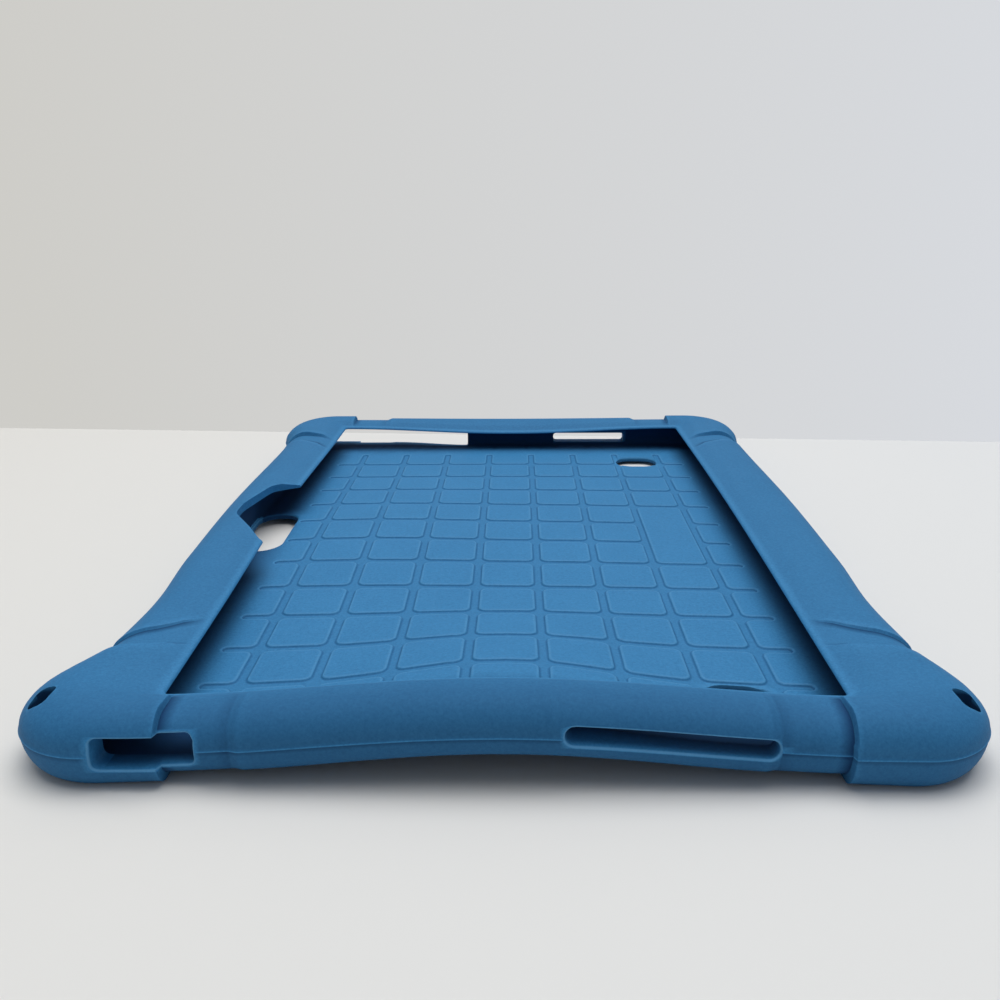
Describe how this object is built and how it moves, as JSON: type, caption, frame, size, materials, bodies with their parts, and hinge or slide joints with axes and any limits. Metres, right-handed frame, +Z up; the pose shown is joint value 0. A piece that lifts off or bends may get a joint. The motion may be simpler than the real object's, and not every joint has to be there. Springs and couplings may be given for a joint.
{
  "type": "tablet case",
  "caption": "Soft silicone tablet case: thick rounded rim and lip, stepped corner bumpers, padded floor, with openings for the camera, sound, buttons and plugs.",
  "frame": {"origin": "middle of the footprint, on the table that the corner bumpers rest on", "axes": "X runs across the short sides, Y along the long sides from the near side with the plug opening to the far side, Z up out of the screen opening"},
  "size_m": [0.1949, 0.255, 0.0186],
  "materials": {
    "silicone": "matte, with a very fine grain"
  },
  "bodies": {
    "root": {"tablet_case": "silicone"}
  },
  "joints": []
}
